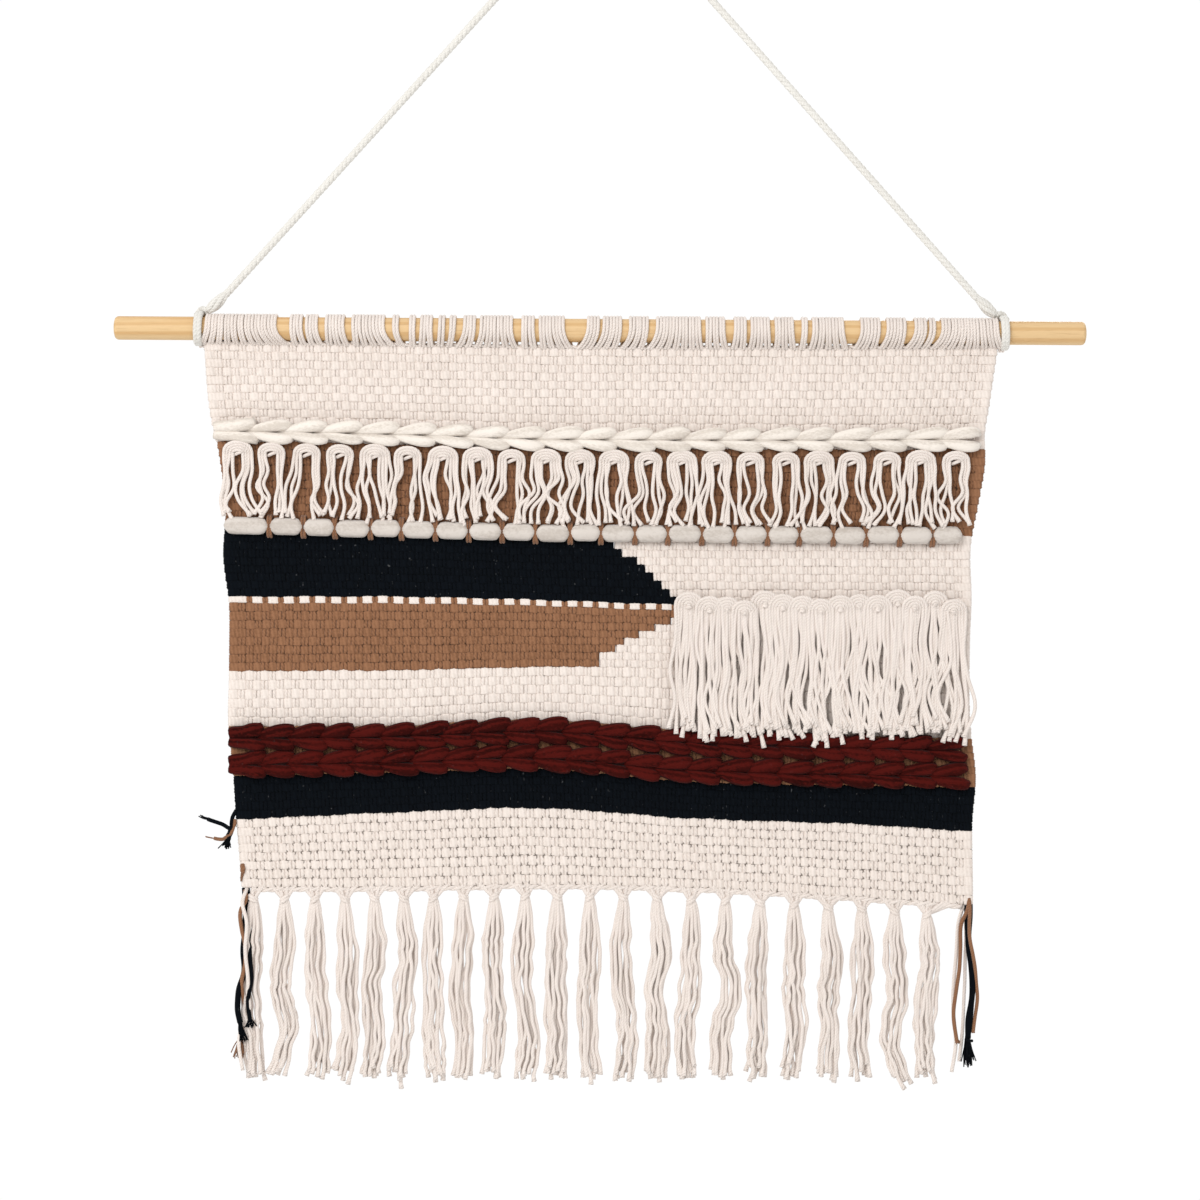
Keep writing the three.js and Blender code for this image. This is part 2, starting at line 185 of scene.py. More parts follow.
class Yarn:
    """Gathers tubes and makes one mesh of them, with coordinates for the materials.

    The mesh's "yarn" attribute holds each point's place across the tube (two numbers) and along it
    (in millimetres), "tint" holds one random number for each tube, and the third attribute, the painted
    pinhole shade, is above 0 where a yarn dips between its neighbours, and the materials paint dark
    shade there.
    """

    def __init__(self):
        self.points, self.coords, self.tints, self.holes, self.polygons = [], [], [], [], []
        self.count = 0

    def add(self, paths, section, scale=1.0, facing=FRONT, flat=False):
        """Tubes along paths (tubes, samples, 3). The scale is one number or (tubes, samples[, 2])."""
        paths = np.asarray(paths, float)
        if paths.ndim == 2:
            paths = paths[None]
        tubes, samples, _ = paths.shape
        sides = len(section)
        side, front = crosswise(paths, facing)
        scale = np.asarray(scale, float)
        if scale.ndim < 3:
            scale = scale[..., None]
        scale = np.broadcast_to(scale, (tubes, samples, 2))
        ring = scale[:, :, None, :] * section
        points = ring[..., :1] * side[:, :, None] + ring[..., 1:] * front[:, :, None]
        points = paths[:, :, None] + points
        self._keep_coords(paths, section, flat)
        self.points.append(points.reshape(-1, 3))
        self.holes.append(np.zeros((tubes, samples, sides)))
        self._keep_faces(tubes, samples, sides)
        self.count += tubes * samples * sides

    def shadow(self, depth, places, tube=0):
        """Marks places of the section of one of the last tubes for painted shade, where they lie deep in
        the cloth.
        """
        self.holes[-1][tube][:, places] = depth

    def _keep_coords(self, paths, section, flat):
        tubes, samples, _ = paths.shape
        steps = np.linalg.norm(np.diff(paths, axis=1), axis=2)
        along = np.concatenate([np.zeros((tubes, 1)), np.cumsum(steps, axis=1)], axis=1)
        along = along + RNG.uniform(0, 400, (tubes, 1))
        size = 1.0 if flat else np.linalg.norm(section, axis=1, keepdims=True)
        across = np.broadcast_to(section / size, (tubes, samples, len(section), 2))
        lengths = np.broadcast_to(along[:, :, None, None], (*across.shape[:3], 1))
        self.coords.append(np.concatenate([across, lengths], axis=3).reshape(-1, 3))
        tint = RNG.uniform(0, 1, (tubes, 1, 1))
        self.tints.append(np.broadcast_to(tint, (tubes, samples, len(section))).ravel())

    def _keep_faces(self, tubes, samples, sides):
        index = self.count + np.arange(tubes * samples * sides).reshape(tubes, samples, sides)
        near, far = index[:, :-1], index[:, 1:]
        quads = np.stack([near, far, np.roll(far, -1, 2), np.roll(near, -1, 2)], axis=-1)
        self.polygons.append(quads.reshape(-1, 4))
        self.polygons.append(index[:, 0])
        self.polygons.append(index[:, -1, ::-1])

    def object(self, name, material):
        """The mesh object, with its faces closed at both ends of each tube."""
        mesh = bpy.data.meshes.new(name)
        points = np.concatenate(self.points) * MM
        mesh.vertices.add(len(points))
        mesh.vertices.foreach_set("co", points.astype(np.float32).ravel())
        sizes = np.concatenate([np.full(len(p), p.shape[1]) for p in self.polygons])
        corners = np.concatenate([p.ravel() for p in self.polygons])
        mesh.loops.add(len(corners))
        mesh.loops.foreach_set("vertex_index", corners.astype(np.int32))
        mesh.polygons.add(len(sizes))
        starts = np.concatenate([[0], np.cumsum(sizes)[:-1]])
        mesh.polygons.foreach_set("loop_start", starts.astype(np.int32))
        mesh.polygons.foreach_set("use_smooth", sizes == 4)
        mesh.update(calc_edges=True)
        mesh.validate()
        self._write_attribute(mesh, "yarn", "FLOAT_VECTOR", "vector", np.concatenate(self.coords))
        self._write_attribute(mesh, "tint", "FLOAT", "value", np.concatenate(self.tints))
        holes = np.concatenate([h.ravel() for h in self.holes])
        self._write_attribute(mesh, "hole", "FLOAT", "value", holes)
        mesh.materials.append(material)
        result = bpy.data.objects.new(name, mesh)
        bpy.context.scene.collection.objects.link(result)
        return result

    @staticmethod
    def _write_attribute(mesh, name, kind, field, values):
        attribute = mesh.attributes.new(name, kind, "POINT")
        attribute.data.foreach_set(field, np.asarray(values, np.float32).ravel())


# ---- materials ----

class Nodes:
    """A short way to write node materials."""

    def __init__(self, name):
        self.material = bpy.data.materials.new(name)
        self.material.use_nodes = True
        self.tree = self.material.node_tree
        self.shader = self.tree.nodes["Principled BSDF"]

    def add(self, kind, inputs=None, **settings):
        node = self.tree.nodes.new("ShaderNode" + kind)
        for key, value in settings.items():
            setattr(node, key, value)
        for key, value in (inputs or {}).items():
            self.plug(value, node.inputs[key])
        return node

    def plug(self, value, socket):
        if isinstance(value, bpy.types.NodeSocket):
            self.tree.links.new(value, socket)
        else:
            socket.default_value = value

    def math(self, operation, first, second=0.0, third=0.0):
        node = self.add("Math", {0: first, 1: second, 2: third}, operation=operation)
        return node.outputs[0]

    def mix(self, factor, first, second):
        node = self.add("Mix", data_type="RGBA")
        self.plug(factor, node.inputs["Factor"])
        self.plug(first, node.inputs[6])
        self.plug(second, node.inputs[7])
        return node.outputs[2]

    def noise(self, vector, scale, detail=2.0, roughness=0.5):
        inputs = {"Vector": vector, "Scale": scale, "Detail": detail, "Roughness": roughness}
        return self.add("TexNoise", inputs).outputs["Fac"]

    def stretch(self, vector, scale):
        return self.add("Mapping", {"Vector": vector, "Scale": scale}).outputs[0]

    def smooth(self, value, low, high):
        node = self.add("MapRange", {"Value": value, "From Min": low, "From Max": high},
                        interpolation_type="SMOOTHSTEP")
        return node.outputs["Result"]

    def finish(self, colour, height, depth, roughness, **uniform):
        bump = self.add("Bump", {"Height": height, "Distance": depth * MM, "Strength": 1.0})
        self.plug(colour, self.shader.inputs["Base Color"])
        self.plug(bump.outputs["Normal"], self.shader.inputs["Normal"])
        self.plug(roughness, self.shader.inputs["Roughness"])
        for key, value in uniform.items():
            self.shader.inputs[key.replace("_", " ")].default_value = value
        return self.material


def shade(colour, factor):
    """A linear colour made darker, a little more in blue than in red."""
    return (colour[0] * factor, colour[1] * factor ** 1.12, colour[2] * factor ** 1.25, 1.0)


def rgba(colour):
    return (*colour, 1.0)


def yarn_material(name, colour, plies=3, pitch=7.0, ply_depth=0.35, dark=0.72, fuzz=0.5, blotch=0.1,
                  sheen=0.25, lint=0.0, contrast=1.0, holes=0.0, gloss=0.12, lines=2.6):
    """Twisted or laid yarn: plies, fibres that follow them, uneven dye and loose lint.

    The ply pattern also paints shade into the grooves between plies, and the pinhole attribute paints
    shade into the cloth's pinholes.
    """
    n = Nodes(name)
    yarn = n.add("Attribute", attribute_name="yarn").outputs["Vector"]
    tint = n.add("Attribute", attribute_name="tint").outputs["Fac"]
    place = n.add("TexCoord").outputs["Object"]
    along = n.add("SeparateXYZ", {0: yarn}).outputs["Z"]
    turn = n.math("MULTIPLY", along, 2 * math.pi / pitch)
    if plies:
        wound = n.add("VectorRotate", {"Vector": yarn, "Angle": turn}, rotation_type="Z_AXIS")
        wound = wound.outputs[0]
        parts = n.add("SeparateXYZ", {0: wound})
        angle = n.math("ARCTAN2", parts.outputs["Y"], parts.outputs["X"])
        ply = n.math("COSINE", n.math("MULTIPLY", angle, float(plies)))
        ply = n.math("MULTIPLY_ADD", ply, 0.5, 0.5)
    else:
        wound = yarn
        parts = n.add("SeparateXYZ", {0: yarn})
        across = n.math("ADD", parts.outputs["X"], parts.outputs["Y"])
        slant = n.math("MULTIPLY_ADD", across, lines, turn)
        ply = n.math("MULTIPLY_ADD", n.math("SINE", slant), 0.5, 0.5)
    fibres = n.noise(n.stretch(wound, (3.2, 3.2, 0.42)), 1.0, 4.0, 0.62)
    fine = n.noise(n.stretch(wound, (9.0, 9.0, 1.6)), 1.0, 2.0, 0.6)
    patches = n.noise(place, 34.0, 3.0, 0.55)
    # painted shade: ply darkens the colour towards shade(colour, dark) in the grooves between plies or
    # laid strands, while fibres and tint add the yarn's own tone; contrast deepens the painted shade
    light = n.math("MULTIPLY_ADD", ply, 0.34, n.math("MULTIPLY", fibres, 1.1))
    light = n.math("MULTIPLY_ADD", tint, 0.22, light)
    light = n.math("MULTIPLY_ADD", light, contrast, 0.6 - 0.83 * contrast)
    tone = n.mix(n.smooth(light, 0.15, 0.85), shade(colour, dark), rgba(colour))
    tone = n.mix(n.math("MULTIPLY", n.smooth(patches, 0.35, 0.7), blotch), tone, shade(colour, 1.25))
    if lint:
        specks = n.smooth(n.noise(place, 420.0, 1.0, 0.4), 0.76, 0.80)
        hairs = n.smooth(n.noise(n.stretch(place, (700.0, 700.0, 160.0)), 1.0, 1.0), 0.74, 0.80)
        specks = n.math("MAXIMUM", specks, hairs)
        tone = n.mix(n.math("MULTIPLY", specks, lint), tone, (0.5, 0.5, 0.5, 1))
    # painted shade: where the pinhole attribute is high, the colour goes to a tenth of its own, so the
    # cloth's pinholes look dark
    if holes:
        hole = n.smooth(n.add("Attribute", attribute_name="hole").outputs["Fac"], 0.2, 0.6)
        tone = n.mix(n.math("MULTIPLY", hole, holes), tone, shade(colour, 0.1))
    height = n.math("MULTIPLY_ADD", ply, ply_depth, n.math("MULTIPLY", fibres, 0.3 * fuzz))
    height = n.math("ADD", height, n.math("MULTIPLY", fine, 0.16 * fuzz))
    rough = n.math("MULTIPLY_ADD", fibres, 0.14, 0.8)
    return n.finish(tone, height, 0.8, rough, Sheen_Weight=sheen, Sheen_Roughness=0.45,
                    Specular_IOR_Level=gloss)


def pine_material():
    """Pale pine: long growth lines, resin streaks, small knots and a satin face."""
    n = Nodes("pale_pine")
    place = n.add("TexCoord").outputs["Object"]
    bend = n.noise(n.stretch(place, (3.0, 40.0, 40.0)), 1.0, 2.0)
    parts = n.add("SeparateXYZ", {0: place})
    depth = n.math("ADD", n.math("MULTIPLY", parts.outputs["Z"], 900.0), n.math("MULTIPLY", bend, 11.0))
    depth = n.math("ADD", depth, n.math("MULTIPLY", parts.outputs["Y"], 260.0))
    rings = n.math("MULTIPLY_ADD", n.math("SINE", depth), 0.5, 0.5)
    late = n.smooth(rings, 0.45, 1.0)
    pores = n.noise(n.stretch(place, (55.0, 2600.0, 2600.0)), 1.0, 3.0, 0.6)
    streak = n.smooth(n.noise(n.stretch(place, (5.0, 210.0, 210.0)), 1.0, 3.0, 0.6), 0.52, 0.72)
    cells = n.add("TexVoronoi", {"Vector": n.stretch(place, (16.0, 60.0, 60.0)), "Scale": 1.0})
    knots = n.smooth(cells.outputs["Distance"], 0.16, 0.05)
    tone = n.mix(n.math("MULTIPLY", late, 0.6), (0.66, 0.455, 0.235, 1), (0.53, 0.315, 0.125, 1))
    tone = n.mix(n.math("MULTIPLY", streak, 0.55), tone, (0.52, 0.25, 0.075, 1))
    tone = n.mix(n.math("MULTIPLY", n.smooth(pores, 0.55, 0.75), 0.55), tone, (0.30, 0.155, 0.06, 1))
    tone = n.mix(n.math("MULTIPLY", knots, 0.75), tone, (0.20, 0.09, 0.03, 1))
    height = n.math("SUBTRACT", n.math("MULTIPLY", late, 0.12), n.math("MULTIPLY", pores, 0.35))
    rough = n.math("MULTIPLY_ADD", pores, 0.2, 0.42)
    return n.finish(tone, height, 0.25, rough, Specular_IOR_Level=0.3)


# Linear colours of the yarns.
CREAM = (0.75, 0.668, 0.61)
CREAM_LIGHT = (0.78, 0.70, 0.645)
WHITE = (0.71, 0.69, 0.645)
ROVING = (0.77, 0.705, 0.635)
ROVING_GREY = (0.60, 0.545, 0.495)
TAN = (0.270, 0.130, 0.067)
NAVY = (0.0026, 0.0040, 0.0062)
MAROON = (0.066, 0.0050, 0.0034)

CLOTH = dict(plies=0, pitch=2.6)
UNSPUN = dict(plies=0, pitch=90.0, ply_depth=0.0, fuzz=1.5, contrast=1.3)
DULL = dict(sheen=0.01, lint=0.1, gloss=0.05)

M = {
    "cloth_cream": yarn_material("cream_cotton_cloth", CREAM, ply_depth=0.2, dark=0.86, holes=0.85,
                                 **CLOTH),
    "cloth_tan": yarn_material("tan_cloth", TAN, ply_depth=0.25, dark=0.66, blotch=0.25, holes=0.85,
                               sheen=0.1, **CLOTH),
    "cloth_navy": yarn_material("navy_cloth", NAVY, ply_depth=0.25, dark=0.6, blotch=0.2, holes=0.8,
                                **CLOTH, **DULL),
    "cream": yarn_material("cream_cotton_cord", CREAM_LIGHT, pitch=6.0, dark=0.86),
    "white": yarn_material("off_white_cord", WHITE, pitch=6.5, dark=0.86, ply_depth=0.15),
    "white_plain": yarn_material("off_white_cord_end", WHITE, pitch=8.0, dark=0.84, ply_depth=0.3),
    "roving": yarn_material("cream_roving", ROVING, dark=0.76, sheen=0.4, **UNSPUN),
    "pebble": yarn_material("cream_roving_pebbles", ROVING_GREY, dark=0.78, sheen=0.3, **UNSPUN),
    "tan": yarn_material("tan_yarn", TAN, pitch=5.0, dark=0.62),
    "navy": yarn_material("navy_yarn", NAVY, pitch=5.0, dark=0.6, **DULL),
    "maroon": yarn_material("maroon_yarn", MAROON, plies=0, pitch=60.0, ply_depth=0.45, dark=0.3,
                            fuzz=2.0, blotch=0.35, sheen=0.02, lint=0.03, contrast=2.0, gloss=0.06,
                            lines=5.0),
    "pine": pine_material(),
}


def add_piece(name, yarn, material, slot, body=None, replaces=()):
    """Makes a piece, lets it ride on its body and hides the CAD nodes that it stands for."""
    piece = yarn.object(name, M[material])
    if body:
        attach(piece, body)
    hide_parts(*replaces)
    return piece


# ---- hanging cord ----

# Left half of the cord's centre line, [x, z], from its knot to the top; the right half mirrors it.
CORD_HALF_ROUTE = [
    [-255.5, -281.3], [-220, -241.8], [-184, -201.8], [-148, -161.8], [-112, -121.8],
    [-76, -81.8], [-40, -41.8], [-10, -8.5], [-4, -1.9], [0, 0],
]
CORD_DIAMETER = 5.0
CORD_LAY = 13.0  # length of one turn of the twist
DOWEL_LOW, DOWEL_HIGH = box("dowel")
DOWEL_RADIUS = (DOWEL_HIGH[2] - DOWEL_LOW[2]) / 2
DOWEL_Z = (DOWEL_HIGH[2] + DOWEL_LOW[2]) / 2
KNOT_TOP, KNOT_LENGTH = (255.0, -280.6), 17.5
LOOP_X = 272.5


def length_of(path):
    return np.linalg.norm(np.diff(path, axis=0), axis=1).sum()


def twisted_cord(path):
    """Three strands wound round a path."""
    cord = Yarn()
    for k in range(3):
        wound = helix(path, CORD_DIAMETER * 0.20, length_of(path) / CORD_LAY, 2 * math.pi * k / 3)
        cord.add(wound, round_section(CORD_DIAMETER * 0.33, 8))
    return cord


def cord_knot(yarn, side):
    """The cord's tail laid back along it and whipped, so that it swells to a spindle."""
    down = np.array([side * 0.72, 0, -0.69])
    top = np.array([side * KNOT_TOP[0], 0, KNOT_TOP[1]])
    samples = 26
    t = np.linspace(0, 1, samples)
    core = top + np.outer(t, down * KNOT_LENGTH)
    bulge = 0.7 + 1.8 * np.sin(math.pi * t ** 1.3) ** 0.7
    for k in range(5):
        strand = helix(core, bulge, 0.25, 2 * math.pi * k / 5)
        taper = 0.72 + 0.28 * np.sin(math.pi * t) ** 0.6
        yarn.add(strand, round_section(1.75, 12), scale=taper[None])
    return core[-1]


def cord_loops(yarn, side, start):
    """Two turns round the dowel and the two strands that lead up to the knot."""
    reach = DOWEL_RADIUS + 2.15
    # Angles from the dowel's top towards the front: from just behind the top, twice round.
    angle = np.linspace(math.radians(-38), math.radians(-20 + 360 * 2), 76)
    x = side * (LOOP_X - 0.6 + 4.0 * np.linspace(0, 1, len(angle)))
    turns = np.stack([x, -reach * np.sin(angle), DOWEL_Z + reach * np.cos(angle)], axis=1)
    lead_in = route([start, (start + turns[0]) / 2 + [side * 0.4, 0.6, 0.5], turns[0]], 8)[:-1]
    lead_out = route([turns[-1], [side * 272.0, 2.0, DOWEL_Z + 13.6], start], 8)[1:]
    path = np.concatenate([lead_in, turns, lead_out])
    yarn.add(path, round_section(1.95, 10), facing=(side, 0.02, 0.03))


def add_hanging_cord():
    left = [[x, 0, z] for x, z in CORD_HALF_ROUTE]
    right = [[-x, 0, z] for x, z in CORD_HALF_ROUTE[-2::-1]]
    path = route(left + right, 560)
    piece = add_piece("hanging_cord_twist", twisted_cord(path), "white", "white_cord", "hanging_cord",
                      ["hanging_cord"])
    for name, side in (("left", -1), ("right", 1)):
        end = Yarn()
        cord_loops(end, side, cord_knot(end, side))
        add_piece(f"cord_end_{name}", end, "white_plain", "white_cord", "hanging_cord",
                              [f"cord_knot_{name}"])


# ---- layout of the cloth ----

ENDS = 92  # warp ends, each a pair of strands
SELVEDGE = 6.5  # width of the wrapped edge outside the last warp end
DEPTH = 0.9  # how far a yarn moves to the front and back
STEPS = 3  # samples of a yarn for each crossing

# Selvedges as (z, x), from the dowel down.
LEFT_EDGE = [(-315, -271), (-340, -269), (-366, -265.5), (-386, -260.5), (-420, -256), (-461, -256.3),
             (-490, -252.8), (-535, -252.6), (-570, -252.4), (-600, -250), (-640, -246.6), (-690, -242)]
RIGHT_EDGE = [(-315, 269.6), (-352, 265), (-374, 261.3), (-391, 261.7), (-420, 257.2), (-444, 253.2),
              (-488, 252.6), (-580, 253.5), (-610, 256.5), (-640, 254.6), (-690, 255)]

# The bands of the cloth from the top: CAD node, rows, yarn, how far the lower boundary stands above the
# CAD one at six stations across, half the distance between a warp pair's strands, and how dark the
# painted shade in its pinholes is.
STATIONS = [-250, -130, -45, 60, 180, 250]
HEADER_SAG = [5.0, 4.0, 3.2, 3.2, 4.0, 5.0]
BANDS = [
    ("cloth_top_cream", 12, "cream", [1.7, 0.5, -1.4, -1.4, -1.4, -0.7], 1.15, 0.35),
    ("cloth_tan_band", 11, "tan", [1.6, -0.3, -2.0, -2.6, -2.7, -2.7], 1.3, 0.75),
    ("cloth_navy_block", 9, "navy", [2.4, 3.0, 1.5, -1.5, -1.5, -1.5], 1.3, 0.2),
    ("dash_row", 1, "cream", [4.0, 4.4, 3.4, 0.5, 0, 0], 1.2, 0.3),
    ("cloth_tan_block", 8, "tan", [0.7, 2.0, 4.5, 4.5, 4.0, 4.0], 1.3, 0.75),
    ("cloth_mid_cream", 6, "cream", [-2.1, -0.7, 3.7, -3.1, -6.5, -7.5], 1.2, 0.45),
    ("cloth_tan_ground", 7, "tan", [3.4, 6.7, 9.5, 1.7, -0.7, -1.4], 1.3, 0.6),
    ("cloth_lower_navy", 5, "navy", [-0.5, 5.6, 8.7, 2.5, -1.2, -5.3], 1.3, 0.2),
    ("cloth_lower_cream", 8, "cream", [0.4, 1.5, 3.5, 2.0, -4.0, -8.4], 1.32, 0.88),
]
NODES = [band[0] for band in BANDS]
ROWS = [band[1] for band in BANDS]
FIRST_ROW = np.concatenate([[0], np.cumsum(ROWS)])
BLOCK_NODES = ["cloth_navy_block", "dash_row", "cloth_tan_block"]

# The stepped edge between the dark blocks and the cream area, as (z, x).
STEP_EDGE = [(-440, 8), (-453.6, 8), (-462, 26), (-471.5, 34), (-482, 47), (-489.3, 54), (-495, 54),
             (-502.5, 47), (-509.5, 26), (-520, 11), (-525, 1), (-538, -3)]


def boundary(k, x):
    """Height of the boundary above band k, or of the bottom edge for the last k."""
    node, sag = ("warp_header", HEADER_SAG) if k == 0 else (NODES[k - 1], BANDS[k - 1][3])
    return box(node)[0][2] + spline(np.clip(x, STATIONS[0], STATIONS[-1]), STATIONS, sag)


def height(row, x):
    """Height of a place between rows, where whole numbers are the boundaries between two rows."""
    row = np.asarray(row, float)
    x = np.asarray(x, float)
    band = np.clip(np.searchsorted(FIRST_ROW, row, side="right") - 1, 0, len(BANDS) - 1)
    levels = np.stack([np.broadcast_to(boundary(k, x), x.shape) for k in range(len(BANDS) + 1)])
    top = np.take_along_axis(levels, np.broadcast_to(band, x.shape)[None], 0)[0]
    bottom = np.take_along_axis(levels, np.broadcast_to(band + 1, x.shape)[None], 0)[0]
    share = (row - FIRST_ROW[band]) / np.array(ROWS)[band]
    return top + (bottom - top) * share


def edges_at(z):
    """x of the two selvedges at height z."""
    return [spline(-np.asarray(z, float), *(-np.array(edge)[:, 0], np.array(edge)[:, 1]))
            for edge in (LEFT_EDGE, RIGHT_EDGE)]


def across(place, z):
    """x of a place across the warp, where whole numbers lie between two ends."""
    left, right = edges_at(z)
    width = right - left - 2 * SELVEDGE
    return left + SELVEDGE + width * np.asarray(place, float) / ENDS


def lattice(place, row):
    """x and z of a place in the weave, with the small unevenness of hand weaving."""
    place, row = np.broadcast_arrays(np.asarray(place, float), np.asarray(row, float))
    x = across(place, np.full(place.shape, -500.0))
    for _ in range(3):
        z = height(row, x)
        x = across(place, z)
    ripple = np.sin(place * 0.71 + 1.3 * np.sin(row * 0.43))
    ripple = ripple * np.sin(row * 0.83 + 0.9 * np.sin(place * 0.31))
    drift = np.sin(place * 0.23 + row * 0.37) + 0.6 * np.sin(place * 0.47 - row * 0.61 + 2.0)
    return x + 0.28 * drift, z + 0.34 * ripple


def over_under(phase, more=0.0):
    """-1 where a yarn passes in front and 1 where it passes behind; more lengthens its front floats."""
    return -np.tanh(1.7 * (np.cos(math.pi * phase) + more)) / math.tanh(1.7)


def split_end(row):
    """How many warp ends from the left the dark block covers in this row, or None."""
    band = np.searchsorted(FIRST_ROW, row, side="right") - 1
    if NODES[band] not in BLOCK_NODES:
        return None
    z = float(height(row + 0.5, np.array(0.0)))
    heights, edge = np.array(STEP_EDGE).T
    x = np.interp(-z, -heights, edge)
    left, right = edges_at(z)
    return int(round(float((x - left - SELVEDGE) / (right - left - 2 * SELVEDGE) * ENDS)))


def cloth_parts():
    """For each CAD node of the cloth: the (row, first end, last end) stretches that it covers."""
    parts = {node: [] for node in NODES}
    for band, node in enumerate(NODES):
        for row in range(FIRST_ROW[band], FIRST_ROW[band + 1]):
            split = split_end(row)
            if split is None:
                parts[node].append((row, 0, ENDS))
            else:
                parts[node].append((row, 0, split))
                parts["cloth_mid_cream"].append((row, split, ENDS))
    return parts


# ---- weft and warp ----

THIN_ROW = "dash_row"


def selvedge_turn(x, z, side):
    """The weft's way round the edge of the cloth, from the front to the back."""
    angle = np.linspace(0, math.pi, 5)
    out = x + side * (SELVEDGE - 1.6 + 1.5 * np.sin(angle))
    turn = np.stack([out, -DEPTH * np.cos(angle), np.full(5, z)], axis=1)
    tuck = [[x - side, DEPTH, z]]
    reach = [[x + side * 1.5, -DEPTH, z]]
    return np.concatenate([reach, turn, tuck])


def weft_path(row, first, last):
    """The centre line of one row between two warp ends, left to right, and the row's pitch along it."""
    place = first + (np.arange((last - first) * STEPS) + 0.5) / STEPS
    x, z = lattice(place, row + 0.5)
    y = DEPTH * over_under(place - 0.5 + row, 0.8 if row == FIRST_ROW[NODES.index(THIN_ROW)] else 0.0)
    path = np.stack([x, y, z], axis=1)
    path[:, 2] += 0.12 * wander(1, len(path), max(4, len(path) // 24))[0]
    if first == 0:
        path = np.concatenate([selvedge_turn(path[0, 0], path[0, 2], -1)[::-1], path])
    if last == ENDS:
        path = np.concatenate([path, selvedge_turn(path[-1, 0], path[-1, 2], 1)])
    pitch = height(row, path[:, 0]) - height(row + 1, path[:, 0])
    return path, pitch


def add_weft(stretches, pinhole_shade_strength):
    """The weft of one part of the cloth, a ribbon of strands for each row."""
    weft = Yarn()
    section = ribbon_section()
    for row, first, last in stretches:
        path, pitch = weft_path(row, first, last)
        fullness = 1.0 + 0.04 * wander(1, len(path), max(4, len(path) // 9))[0]
        front = -path[:, 1] / DEPTH
        width = pitch * np.clip(fullness, 0.94, 1.06) * (1.13 + 0.07 * front)
        scale = np.stack([np.full(len(path), 1.8), width], axis=1)
        # painted shade at the ribbon's edges where the row passes between front and back, so that the
        # pinholes look dark
        hole = 1.5 * pinhole_shade_strength * RNG.uniform(0.4, 1.0, (len(path), 1)) * (np.abs(front) < 0.8)[:, None]
        weft.add(path, section, scale=scale[None], facing=UP, flat=True)
        weft.shadow(hole, [0, len(section) // 2])
    return weft


def warp_runs(parts):
    """For each end, the stretches of rows that belong to one part: (end, first row, last row)."""
    cover = np.zeros((FIRST_ROW[-1], ENDS), bool)
    for row, first, last in parts:
        cover[row, first:last] = True
    for end in range(ENDS):
        column = np.concatenate([[False], cover[:, end], [False]]).astype(int)
        starts, stops = np.flatnonzero(np.diff(column) == 1), np.flatnonzero(np.diff(column) == -1)
        for first, last in zip(starts, stops):
            yield end, first, last


def add_warp(stretches, spread, pinhole_shade_strength):
    """The warp of one part of the cloth, two strands for each end."""
    warp = Yarn()
    for end, first, last in warp_runs(stretches):
        rows = first + (np.arange((last - first) * STEPS) + 0.5) / STEPS
        rows = np.concatenate([[first - 0.08], rows, [last + 0.08]])
        x, z = lattice(end + 0.5, rows)
        y = -DEPTH * over_under(end + rows - 0.5)
        sway = 0.1 * wander(2, len(rows), 4)
        paths = [np.stack([x + side * spread + one, y, z], axis=1) for one, side in zip(sway, (-1, 1))]
        warp.add(paths, round_section(spread * 1.1, 6, 0.68))
        # painted shade on the outer sides of the warp strands where they pass between front and back, so
        # that the pinholes look dark
        deep = pinhole_shade_strength * RNG.uniform(0.4, 1.0, len(rows)) * (np.abs(y) < 0.8 * DEPTH)
        for tube, places in enumerate(([0, 1], [3, 2])):
            warp.shadow(np.outer(deep, [1.0, 0.7]), places, tube)
    return warp


def add_cloth():
    """Every band of the cloth: its weft and its warp, each a piece that rides on the panel."""
    for (node, _, colour, _, spread, pinhole_shade_strength), parts in zip(BANDS, cloth_parts().values()):
        name = node.replace("cloth_", "")
        slots = {"cream": "cream_cotton", "tan": "tan_yarn", "navy": "navy_yarn"}
        warp_colour = "tan" if node == THIN_ROW else colour
        weft, warp = add_weft(parts, pinhole_shade_strength), add_warp(parts, spread, pinhole_shade_strength)
        weft_piece = add_piece(f"weft_{name}", weft, f"cloth_{colour}", slots[colour], "panel", [node])
        warp_piece = add_piece(f"warp_{name}", warp, f"cloth_{warp_colour}", slots[warp_colour],
                               "panel")
        if node == THIN_ROW:
            continue
        low, high = box(node)
        width, length = (high - low)[[0, 2]]
        cells = sum(last - first for _, first, last in parts)


# ---- warp loops over the dowel ----

# Warp ends in each close group on the dowel, and the bare wood after it.
GROUPS = [11, 2, 2, 3, 5, 1, 1, 2, 1, 1, 2, 5, 2, 4, 2, 3, 3, 7, 3, 2, 3, 3, 1, 5, 3, 3, 2, 1, 9]
WOOD = [9, 2, 5, 5, 5, 7, 3, 4, 3, 5, 3, 6, 3, 15, 2, 5, 5, 3, 6, 3, 3, 5, 3, 11, 4, 6, 1.5, 3.5]
HEADER_LEFT, HEADER_RIGHT = -268.6, 269.4


def header_places():
    """x of each warp end where it crosses the dowel."""
    gaps = np.zeros(ENDS)
    gaps[np.cumsum(GROUPS)[:-1]] = WOOD
    strand = (HEADER_RIGHT - HEADER_LEFT - sum(WOOD)) / ENDS
    return HEADER_LEFT + strand * (np.arange(ENDS) + 0.5) + np.cumsum(gaps), strand / 2


